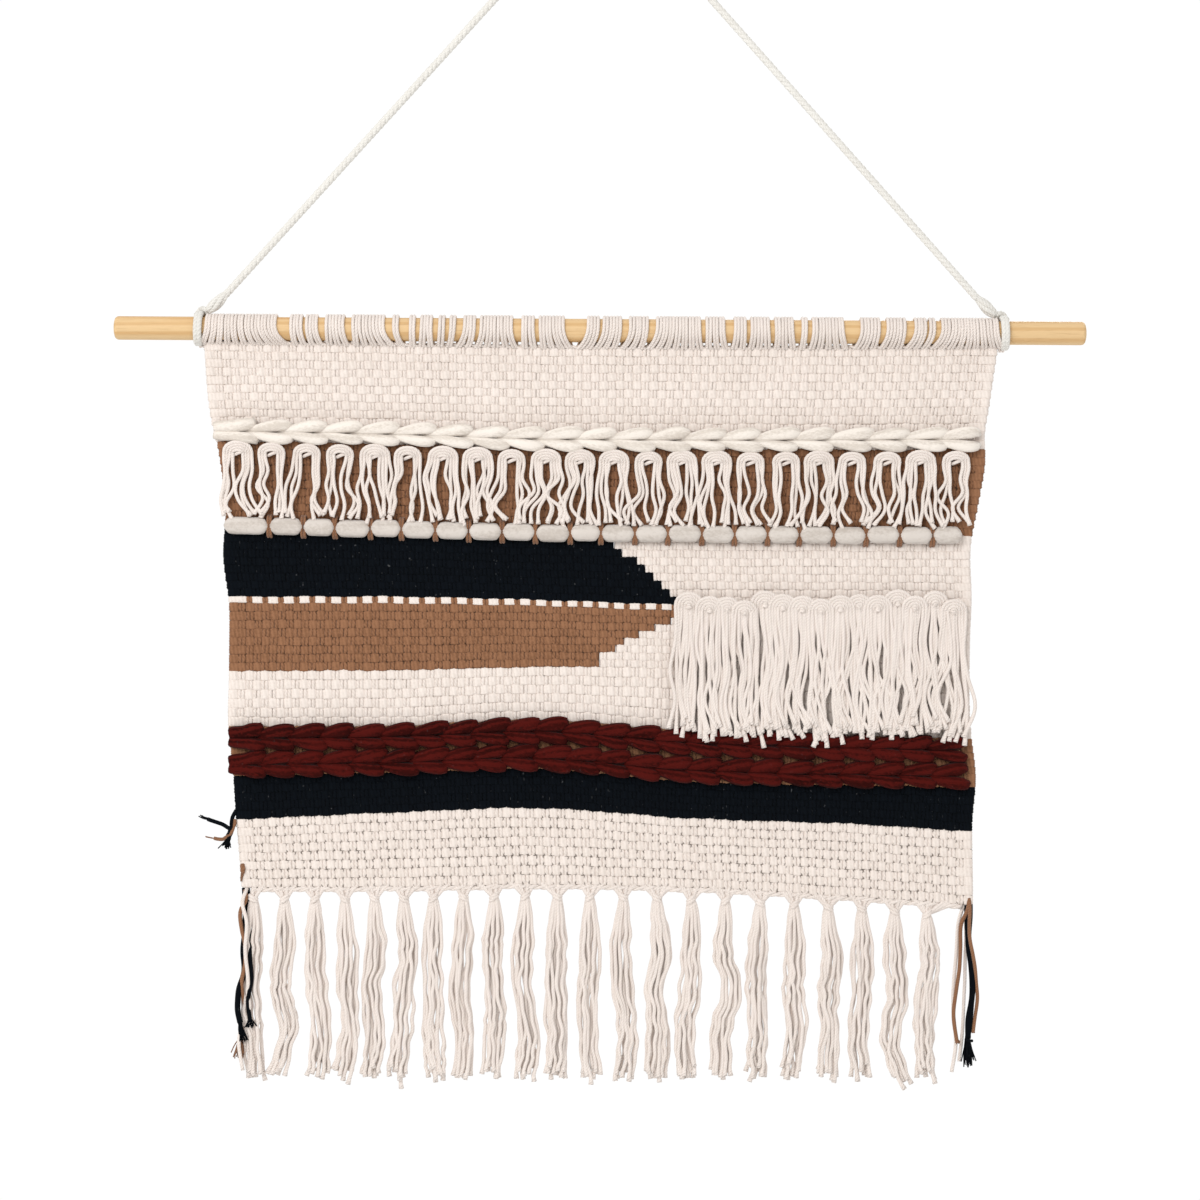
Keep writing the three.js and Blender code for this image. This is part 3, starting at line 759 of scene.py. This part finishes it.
def loop_path(x_dowel, x_cloth, z_cloth, lean):
    """One strand from the back of the cloth, round the dowel and down to the first row."""
    reach = DOWEL_RADIUS + 1.25
    depth = DOWEL_Z - z_cloth
    leave = math.pi - math.acos(reach / math.hypot(depth, DEPTH))
    angle = np.linspace(-leave, leave, 19)
    arc = np.stack([np.zeros(19), -reach * np.sin(angle), DOWEL_Z + reach * np.cos(angle)], axis=1)
    t = np.linspace(0, 1, 8)[1:, None]
    front = arc[-1] + t * (np.array([0, -0.5, z_cloth]) - arc[-1])
    back = (arc[0] + t * (np.array([0, 0.9, z_cloth - 2.0]) - arc[0]))[::-1]
    path = np.concatenate([back, arc, front])
    drop = np.clip((DOWEL_Z + reach * 0.4 - path[:, 2]) / (reach * 0.4 + depth), 0, 1)
    ease = np.where(path[:, 1] > 0, drop ** 0.6, drop ** 2.6)
    path[:, 0] = x_dowel + (x_cloth - x_dowel) * ease + lean * (1 - drop)
    return path


def add_header():
    """The loops over the dowel and the twined row that locks them."""
    header = Yarn()
    places, strand = header_places()
    x, z = lattice(np.arange(ENDS) + 0.5, np.zeros(ENDS))
    drift = np.pad(x - places, 12, mode="reflect")
    x = x - 0.85 * np.convolve(drift, np.ones(25) / 25, mode="valid")
    lean = 0.35 * wander(1, ENDS, 30)[0]
    paths = []
    for end in range(ENDS):
        for side in (-1, 1):
            start = places[end] + side * strand / 2
            paths.append(loop_path(start, x[end] + side * 1.1, z[end] - 0.5, lean[end]))
    paths = np.array(paths)
    paths[:, :, 0] += 0.12 * wander(len(paths), paths.shape[1], 6)
    header.add(paths, round_section(1.17, 8), facing=ALONG_X)
    for side in (-1, 1):
        twine(header, side)
    add_piece("warp_loops", header, "cream", "cream_cotton", "panel", ["warp_header"])


def twine(header, side):
    """One of two strands that twist round each other between the warp ends, above the first row."""
    place = np.linspace(-0.9, ENDS + 0.9, ENDS * 4)
    x, z = lattice(place, 0.0)
    phase = math.pi * place
    y = side * 1.6 * np.cos(phase)
    path = np.stack([x, y, z + 0.7 + side * 0.7 * np.sin(phase)], axis=1)
    header.add(path, round_section(0.95, 6))


# ---- soumak braids ----

def leaf(yarn, x, z, side, width, profile, away, depth, lift, section, seat):
    """One stitch: a fat bundle whose inner edge lies on the line z and leaves it at the end."""
    t = np.linspace(0, 1, len(x))
    swell = width * profile
    offset = swell * seat + away * np.clip((t - 0.3) / 0.7, 0, 1) ** 1.4
    rise = lift * spline(t, [0, 0.3, 0.62, 0.86, 1], [0.0, 0.5, 1.0, 0.9, 0.1])
    path = np.stack([x, depth - rise, z + side * offset], axis=1) + 0.12 * wander(3, len(x), 4).T
    yarn.add(path, section, scale=np.stack([swell, 2.6 * profile ** 0.5], axis=1)[None])


LEAF_AT = [0, 0.2, 0.45, 0.7, 0.85, 0.95, 1]
ROUND_LEAF = [0.26, 0.50, 0.84, 1.0, 0.94, 0.70, 0.28]
BLUNT_LEAF = [0.36, 0.60, 0.90, 1.04, 1.0, 0.84, 0.42]


def add_braid(name, node, slot, stitches, left, right, width, middle, material, leaf_shape, away,
              section, seat):
    """A row of paired stitches that point to the left, like laid arrowheads."""
    braid = Yarn()
    pitch = (right - left) / stitches
    back = box(node)[1][1]
    t = np.linspace(0, 1, 17)
    for k in range(stitches):
        for side in (1, -1):
            start = left + (k - 0.3) * pitch if k else left
            end = left + (k + 1.14 + 0.05 * RNG.normal()) * pitch
            x = start + t * (end - start)
            profile = spline(t, LEAF_AT, leaf_shape)
            if k == 0:
                profile = np.maximum(profile, 0.95 - 0.2 * (1 - t) ** 8)
            stout = width * (1.04 if side > 0 else 0.94) * (1 + 0.04 * RNG.normal())
            lift = 3.3 + 0.3 * RNG.normal()
            leaf(braid, x, middle(x), side, stout, profile, away, back - 1.7, lift, section, seat)
        x, z = left + (k + 1) * pitch, middle(left + (k + 1) * pitch)
        behind = [[x, back - 1, z + width], [x, 2.4, z + width * 0.5], [x, 2.4, z - width * 0.5],
                  [x, back - 1, z - width]]
        braid.add(route(behind, 10), round_section(1.3, 10), facing=ALONG_X)
    return add_piece(name, braid, material, slot, "panel", [node])


def add_braids():
    low, high = box("soumak_cream")
    centre = (low[2] + high[2]) / 2
    sag = [2.2, 0.4, -2.0, -2.2, -1.4, -0.7]

    def middle(x):
        return centre + spline(np.clip(x, -250, 250), STATIONS, sag)

    add_braid("braid_cream", "soumak_cream", "cream_roving", 21, low[0] - 2, high[0] - 6, 4.1, middle,
              "roving", ROUND_LEAF, 2.2, grooved_section(9, 0.06), 0.83)
    for name, share in (("upper", 0.228), ("lower", 0.772)):
        node = f"soumak_maroon_{name}"
        low, high = box(node)

        def middle(x, share=share):
            ground = NODES.index("cloth_tan_ground")
            top, bottom = boundary(ground, x), boundary(ground + 1, x)
            return top + (bottom - top) * share

        add_braid(f"braid_maroon_{name}", node, "maroon_yarn", 24, low[0] - 1, high[0] - 6, 4.65,
                  middle, "maroon", BLUNT_LEAF, 2.4, grooved_section(8, 0.17), 0.74)


# ---- roving pebbles ----

PEBBLES = 22


def add_pebble_row():
    """Roving laid along the row and tied down between the pebbles with tan yarn."""
    low, high = box("pebble_row")
    roving, ties = Yarn(), Yarn()
    ends = np.concatenate([[-256], np.linspace(-224.4, 225.8, PEBBLES - 1), [245.5]])
    ends[1:-1] += RNG.normal(0, 0.6, PEBBLES - 1)
    k = NODES.index("cloth_navy_block")
    rise = (low[2] + high[2]) / 2 - box("cloth_tan_band")[0][2]
    section = grooved_section(10, 0.1)
    for left, right in zip(ends[:-1], ends[1:]):
        t = (1 - np.cos(math.pi * np.linspace(0, 1, 19))) / 2
        x = left + 1.9 + t * (right - left - 3.8)
        z = boundary(k, x) + rise + RNG.normal(0, 0.25)
        full = np.clip(1 - np.abs(2 * t - 1) ** 7, 0.02, 1) ** 0.33
        path = np.stack([x, -5.0 - 1.1 * full, z], axis=1)
        roving.add(path, section, scale=np.stack([full * 5.9, 1.2 + full * 2.9], axis=1)[None])
    for x in ends[1:-1]:
        z = float(boundary(k, x) + rise)
        for side in (-1, 1):
            lean = RNG.normal(0, 0.3)
            strand = [[x + side * 0.95, 0.5, z + 7.6], [x + side * 0.95, -4.6, z + 6.0],
                      [x + side * 0.9 + lean, -6.6, z], [x + side * 0.95, -4.6, z - 6.0],
                      [x + side * 0.95, 0.5, z - 7.6]]
            ties.add(route(strand, 14), round_section(1.05, 8), facing=ALONG_X)
    add_piece("roving_pebbles", roving, "pebble", "cream_roving", "panel", ["pebble_row"])
    add_piece("pebble_ties", ties, "tan", "tan_yarn", "panel")


# ---- fringes ----

def add_fringe(name, tufts, cords, radius, drop, spread, top, sway, forward):
    """Tufts of cut cords, each folded over the warp so that both ends hang down in front."""
    low, high = box(name)
    fringe = Yarn()
    back = high[1]
    xs = np.linspace(low[0] + spread[1], high[0] - spread[1], tufts) + RNG.normal(0, 0.5, tufts)
    for x in xs:
        z = top(x)
        tuft(fringe, x, z, cords, radius, drop, spread, sway, back, forward)
    piece = add_piece(f"{name}_cords", fringe, "cream", "cream_cord", None, [name, f"{name}_knots"])
    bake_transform(piece)


def tuft(fringe, x, z, cords, radius, drop, spread, sway, back, forward):
    """One folded bundle: the cords run up one leg, across the knot and down the other leg."""
    count = cords + (RNG.uniform() < 0.5)
    legs = 22
    t = np.linspace(0, 1, legs)
    flare = 1 + 0.4 * np.clip((t - 0.9) / 0.1, 0, 1)
    leg_sway = {side: sway * wander(1, legs, 5)[0] * np.sin(t * math.pi / 2) for side in (-1, 1)}
    for k in range(count):
        place = (k + 0.5) / count - 0.5
        sides = []
        for side in (-1, 1):
            length = drop * (1 + RNG.normal(0, 0.035))
            root = x + side * (spread[0] + radius * 1.6 * place * count)
            lean = RNG.normal(0, spread[1] * 0.2) + side * place * spread[1] * 0.55
            own = 0.75 * sway * wander(1, legs, 5)[0] * np.sin(t * math.pi / 2)
            leg_x = root + lean * t ** 1.3 + leg_sway[side] + own
            leg_y = back - radius - 0.8 - 1.8 * abs(place) - forward * t ** 4
            leg_y = leg_y - 1.7 * np.sin(t * math.pi) * RNG.uniform(0, 1)
            leg_z = z - 5.0 - (length - 5.0) * t
            sides.append(np.stack([leg_x, leg_y, leg_z], axis=1))
        arch_t = np.linspace(0, math.pi, 11)[1:-1]
        half = (sides[1][0, 0] - sides[0][0, 0]) / 2
        middle = (sides[1][0, 0] + sides[0][0, 0]) / 2
        rise = 3.2 + radius * 1.45 * place * count
        arch = np.stack([middle - half * np.cos(arch_t),
                         back - radius - 1.0 - 2.0 * np.sin(arch_t) - 1.0 * (place + 0.5),
                         z - 5.0 + (rise + 1.2) * np.sin(arch_t) ** 0.85], axis=1)
        path = np.concatenate([sides[0][::-1], arch, sides[1]])
        scale = np.concatenate([flare[::-1], np.ones(len(arch)), flare])
        fringe.add(path, round_section(radius, 7), scale=scale[None], facing=(0.02, -1, 0.03))
    bar = route([[x - spread[0] * 0.4, back - 0.8, z - 6.5], [x, back - 3.4, z - 5.4],
                 [x + spread[0] * 0.9, back - 0.8, z - 3.2]], 9)
    fringe.add(bar, round_section(radius * 0.95, 8))


def add_fringes():
    knots, tips = box("short_fringe_knots")[1][2], box("short_fringe")[0][2]
    sag = [3.4, 1.0, -1.0, -1.6, -1.0, 0.0]
    add_fringe("short_fringe", 22, 3, 1.25, knots - tips + 1.0, (6.4, 8.2),
               lambda x: knots + float(spline(np.clip(x, -250, 250), STATIONS, sag)) - 0.8, 2.5, 2.2)
    long_knots, tips = box("long_fringe_knots")[1][2], box("long_fringe")[0][2]
    add_fringe("long_fringe", 15, 5, 1.3, long_knots - tips + 1.5, (3.9, 9.5),
               lambda x: long_knots + RNG.normal(0, 2.0) - 1.5, 2.6, 5.4)


# ---- tassels ----

TASSELS = 22
TASSEL_BLEND = (-0.6868, -0.6945)  # two heights near the tops of the tassels, in metres


def add_tassels():
    """The warp ends below the last row, knotted together in bunches of about four."""
    nodes = [f"tassel_{i + 1:02d}" for i in range(TASSELS)]
    centres = np.array([(box(node)[0][0] + box(node)[1][0]) / 2 for node in nodes])
    end_x = lattice(np.arange(ENDS) + 0.5, np.full(ENDS, float(FIRST_ROW[-1])))[0]
    nearest = np.searchsorted((centres[1:] + centres[:-1]) / 2, end_x)
    for i, node in enumerate(nodes):
        ends = np.flatnonzero(nearest == i)
        x, z = lattice(ends + 0.5, np.full(len(ends), float(FIRST_ROW[-1])))
        knot = np.array([centres[i], 0.0, float(np.mean(z)) - 8.0])
        bunch = Yarn()
        strands(bunch, knot, x, z, box(node)[0][2])
        knot_wraps(bunch, knot)
        piece = add_piece(f"tassel_cords_{i + 1:02d}", bunch, "cream", "cream_cord", None, [node])
        start, end = ((knot[0] * MM, 0, z) for z in TASSEL_BLEND)
        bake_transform(piece)
        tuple(start)
        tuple(end)


def strands(bunch, knot, x, z, bottom):
    """Each strand runs from its place in the cloth to the knot, then hangs in loose waves."""
    count = int(np.clip(2 * len(x) + 2, 9, 12))
    hang = 34
    t = np.linspace(0, 1, hang)
    common = 2.3 * wander(1, hang, 5)[0] * np.clip(t * 2, 0, 1)
    common += 0.5 * np.sin(36 * t + 2 * wander(1, hang, 6)[0]) * np.clip(t * 4, 0, 1)
    for k in range(count):
        end = min(k * len(x) // count, len(x) - 1)
        share = (k + 0.5) / count - 0.5
        depth = 1.9 * math.sin(2.4 * k + 0.7)
        top = [x[end] + (k % 2 - 0.5) * 2.2, 0.0, z[end] + 1.6]
        neck = [knot[0] + share * 3.4, depth * 0.6, knot[2]]
        lead = route([top, (np.array(top) + neck) / 2 + [0, 0, 0.4], neck], 7)[:-1]
        length = knot[2] - bottom + RNG.normal(0, 3.0)
        wide = 3.4 + 9.6 * np.clip(t / 0.22, 0, 1) ** 0.75
        free = np.clip(t * 4, 0, 1)
        wave = (0.8 * wander(1, hang, 7)[0] + 0.35 * np.sin(t * 40 + RNG.uniform(0, 6))) * free
        hang_x = knot[0] + share * wide + common + wave
        hang_y = depth * (0.6 + 0.6 * free) + 0.7 * wander(1, hang, 6)[0] * np.clip(t * 3, 0, 1)
        body = np.stack([hang_x, hang_y, knot[2] - length * t], axis=1)
        scale = np.concatenate([np.full(len(lead), 0.95), 1 + 0.4 * np.clip((t - 0.96) / 0.04, 0, 1)])
        bunch.add(np.concatenate([lead, body]), round_section(1.3, 8), scale=scale[None],
                  facing=(0.02, -1, 0.03))


def add_last_pick():
    """The thick bundle that closes the cloth's lower edge, between the knots."""
    place = np.linspace(0.3, ENDS - 0.3, ENDS * 3)
    x, z = lattice(place, float(FIRST_ROW[-1]))
    pick = Yarn()
    core = np.stack([x, 0.5 + 0.4 * np.sin(place * 1.57), z - 1.6], axis=1)
    for k in range(3):
        pick.add(helix(core, 1.05, 26, 2 * math.pi * k / 3), round_section(1.15, 7))
    add_piece("last_pick", pick, "cream", "cream_cord", "panel")


def knot_wraps(bunch, knot):
    """The turn of the overhand knot that gathers the strands."""
    angle = np.linspace(0, 2 * math.pi * 1.6, 34)
    rise = np.linspace(1.5, -1.7, 34)
    rise = rise + RNG.choice([-1.0, 1.0]) * 1.6 * np.cos(angle)
    path = np.stack([knot[0] + 2.5 * np.cos(angle), -2.6 * np.sin(angle), knot[2] + rise], axis=1)
    bunch.add(path, round_section(1.2, 8), facing=(0, 0, 1))


# ---- loose weft ends ----

def loose_end(yarn, points, radius, brush=0, splay=3.0, reach=6.0, samples=40):
    """A yarn end that hangs free; brush strands fan out of its tip."""
    path = route(points, samples)
    path[:, 0] += 0.25 * wander(1, samples, 9)[0]
    yarn.add(path, round_section(radius, 9), facing=(0.02, -1, 0.03))
    way = path[-1] - path[-4]
    way /= np.linalg.norm(way)
    for _ in range(brush):
        start = path[-2] + RNG.normal(0, radius * 0.35, 3) * [1, 1, 0]
        stop = start + way * reach * RNG.uniform(0.75, 1.15)
        stop = stop + RNG.normal(0, splay, 3) * [0.45, 0.3, 0.15]
        middle = (start + stop) / 2 + RNG.normal(0, 0.4, 3)
        yarn.add(route([start, middle, stop], 7), round_section(0.42, 5), facing=(0.02, -1, 0.03))


def side_piece(name, ends, material, node, replaces=()):
    """Loose ends, each (points, radius[, brush, splay, reach]), made into one piece."""
    yarn = Yarn()
    for end in ends:
        loose_end(yarn, *end)
    slot = "cream_cord" if material == "cream" else f"{material}_yarn"
    piece = add_piece(name, yarn, material, slot, None, replaces)
    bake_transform(piece)


def add_side_yarns():
    """The coloured weft's ends, carried down the selvedges and left hanging at both corners."""
    left, right = "side_yarns_left", "side_yarns_right"
    side_piece("left_navy_ends", [
        ([[-241, 2.2, -685], [-240, 2, -700], [-240, -1.5, -712], [-241, -2.5, -724],
          [-240.4, -2.5, -741], [-243.8, -2.5, -756], [-244.8, -2.5, -767], [-242.5, -2.5, -776]],
         2.0, 30, 3.2, 14.0),
        ([[-239, 2.2, -685], [-237.5, 1, -715], [-236, -2.5, -732], [-235, -3.5, -745],
          [-237.5, -3.5, -762], [-236, -3.5, -775]], 1.5, 14, 4.0),
    ], "navy", left)
    side_piece("left_tan_ends", [
        ([[-240, 0, -686], [-239, -2, -692], [-242.8, -2.5, -700], [-242, -3, -713], [-239.3, -4, -722],
          [-239.3, -4, -735], [-241.5, -3.5, -748], [-240, 1.5, -770], [-243, -1, -790]],
         1.4, 36, 5.0, 12.0),
    ], "tan", left, [left])
    side_piece("left_cream_ends", [
        ([[-239, 0, -685], [-241.5, -4.5, -694], [-238.5, -5, -706], [-239.5, -5.2, -728],
          [-237.3, -5.2, -746], [-239, 1, -768], [-243.5, -4, -790], [-240, -5, -808]], 1.3),
    ], "cream", left)
    side_piece("right_navy_ends", [
        ([[251.5, 1.5, -690], [250.9, -1, -700], [251.6, -1.5, -719], [253.7, -2, -734],
          [254.4, -2, -752], [252.6, -2, -767], [251.6, -2, -784]], 2.0, 44, 4.6, 19.0),
        ([[253.5, 1.5, -690], [252.5, -2, -708], [252.5, -2.5, -724], [254.8, -2.8, -740],
          [254.0, -2.8, -762], [252, -2.5, -783]], 1.5),
        ([[249.8, -2.5, -784.5], [252.0, -5.0, -785], [254.2, -2.5, -785.5]], 1.0, 0, 3.0, 6.0, 10),
    ], "navy", right, [right])
    side_piece("right_tan_ends", [
        ([[251.8, -0.5, -689], [251.2, -2.4, -695.5], [246.8, -2.5, -706], [246.1, -2.5, -723],
          [243, -2.5, -756], [241.8, -2.5, -771], [244, -2.5, -787]], 1.35, 5, 1.4, 3.0),
        ([[252.2, -0.5, -689], [252.4, -3.6, -696], [251.6, -4.4, -713], [254.8, -4.6, -728],
          [257.6, -3, -745], [257.2, -2.5, -762], [254.9, -2.5, -780]], 1.25, 5, 1.2, 3.0),
    ], "tan", right)
    side_piece("right_cream_ends", [
        ([[250.5, 1.5, -689], [246, 1.5, -703], [243.5, 1.5, -730], [242.2, 1.5, -765],
          [243.5, 0, -788], [240.7, -1, -807]], 1.3),
        ([[250.5, 1.8, -689], [249.8, 1.8, -735], [249, 1.8, -770], [246.1, 1, -800]], 1.2),
    ], "cream", right)


def add_tails():
    """Short cut ends at the left selvedge."""
    navy, tan = Yarn(), Yarn()
    loose_end(navy, [[-246.5, -0.5, -632], [-249.5, -1.5, -640], [-249, -2.5, -644], [-257, -2, -641],
                     [-266, -1.5, -638]], 1.4, 8, 2.4, samples=24)
    loose_end(navy, [[-248, 0, -640], [-250, -1.5, -646], [-252, -1.5, -652]], 2.0, 22, 3.2, samples=14)
    add_piece("left_navy_tails", navy, "navy", "navy_yarn", "panel", ["weft_tails_left"])
    loose_end(tan, [[-247.5, -1, -638], [-249, -2.5, -646], [-255, -2, -651.5], [-261.5, -1.5, -651]],
              1.25, 4, 1.0, samples=20)
    loose_end(tan, [[-242, -1, -669], [-241.5, -2.6, -671], [-242, -2.2, -674]], 1.7, 8, 1.6, samples=12)
    add_piece("left_tan_tails", tan, "tan", "tan_yarn", "panel")


# ---- dowel ----

def add_dowel():
    """The dowel, with worn ends."""
    dowel = Yarn()
    samples = 130
    x = np.interp(np.linspace(0, 1, samples), [0, 0.08, 0.92, 1], [0, 0.008, 0.992, 1])
    x = DOWEL_LOW[0] + x * (DOWEL_HIGH[0] - DOWEL_LOW[0])
    inset = np.minimum(x - DOWEL_LOW[0], DOWEL_HIGH[0] - x)
    worn = 3.0  # radius of the ends' rounding
    lost = worn - np.sqrt(np.clip(worn ** 2 - (worn - np.clip(inset, 0, worn)) ** 2, 0, None))
    radius = (DOWEL_RADIUS - 0.02 - lost) / DOWEL_RADIUS
    path = np.stack([x, np.zeros(samples), np.full(samples, DOWEL_Z)], axis=1)
    dowel.add(path, round_section(DOWEL_RADIUS, 64), scale=radius[None])
    add_piece("pine_dowel", dowel, "pine", "dowel_wood", "dowel", ["dowel"])


# ---- stage ----

FLOOR_Z = -1300.0


def add_floor():
    mesh = bpy.data.meshes.new("floor")
    reach = 1.45
    corners = [(-reach, -reach), (reach, -reach), (reach, reach), (-reach, reach)]
    mesh.from_pydata([(x, y, FLOOR_Z * MM) for x, y in corners], [], [(0, 1, 2, 3)])
    n = Nodes("pale_floor")
    place = n.add("TexCoord").outputs["Object"]
    tone = n.mix(n.noise(place, 3.0), (0.86, 0.86, 0.855, 1), (0.9, 0.9, 0.895, 1))
    mesh.materials.append(n.finish(tone, n.noise(place, 120.0), 0.1, 0.9))
    floor = bpy.data.objects.new("floor", mesh)
    bpy.context.scene.collection.objects.link(floor)
    floor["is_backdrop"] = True


def add_light(name, place, size, power):
    data = bpy.data.lights.new(name, "AREA")
    data.energy, data.size = power, size
    light = bpy.data.objects.new(name, data)
    light.location = place
    way = np.array([0, 0, -0.5]) - place  # towards the middle of the hanging
    light.rotation_euler = (math.acos(-way[2] / np.linalg.norm(way)), 0, math.atan2(-way[0], way[1]))
    bpy.context.scene.collection.objects.link(light)


def add_studio():
    world = bpy.data.worlds.new("studio")
    world.use_nodes = True
    nodes, links = world.node_tree.nodes, world.node_tree.links
    place, parts = nodes.new("ShaderNodeTexCoord"), nodes.new("ShaderNodeSeparateXYZ")
    level = nodes.new("ShaderNodeMapRange")
    for key, value in (("From Min", 0.90), ("From Max", 0.95), ("To Min", 0.86), ("To Max", 1.02)):
        level.inputs[key].default_value = value
    links.new(place.outputs["Generated"], parts.inputs[0])
    links.new(parts.outputs["Y"], level.inputs["Value"])
    links.new(level.outputs["Result"], nodes["Background"].inputs["Strength"])
    nodes["Background"].inputs["Color"].default_value = (1, 1, 1, 1)
    bpy.context.scene.world = world
    add_light("key", (-1.1, -2.3, 0.7), 1.5, 43.0)
    add_light("back_key", (1.1, 2.3, 0.6), 1.5, 40.0)
    bpy.context.scene.view_settings.view_transform = "Standard"


add_camera()
add_hanging_cord()
add_dowel()
add_header()
add_cloth()
add_braids()
add_pebble_row()
add_fringes()
add_last_pick()
add_tassels()
add_side_yarns()
add_tails()
add_floor()
add_studio()

boxes = {"cad": CAD_BOUNDS, "visual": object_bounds()}
{name: [list(corner) for corner in pair] for name, pair in boxes.items()}
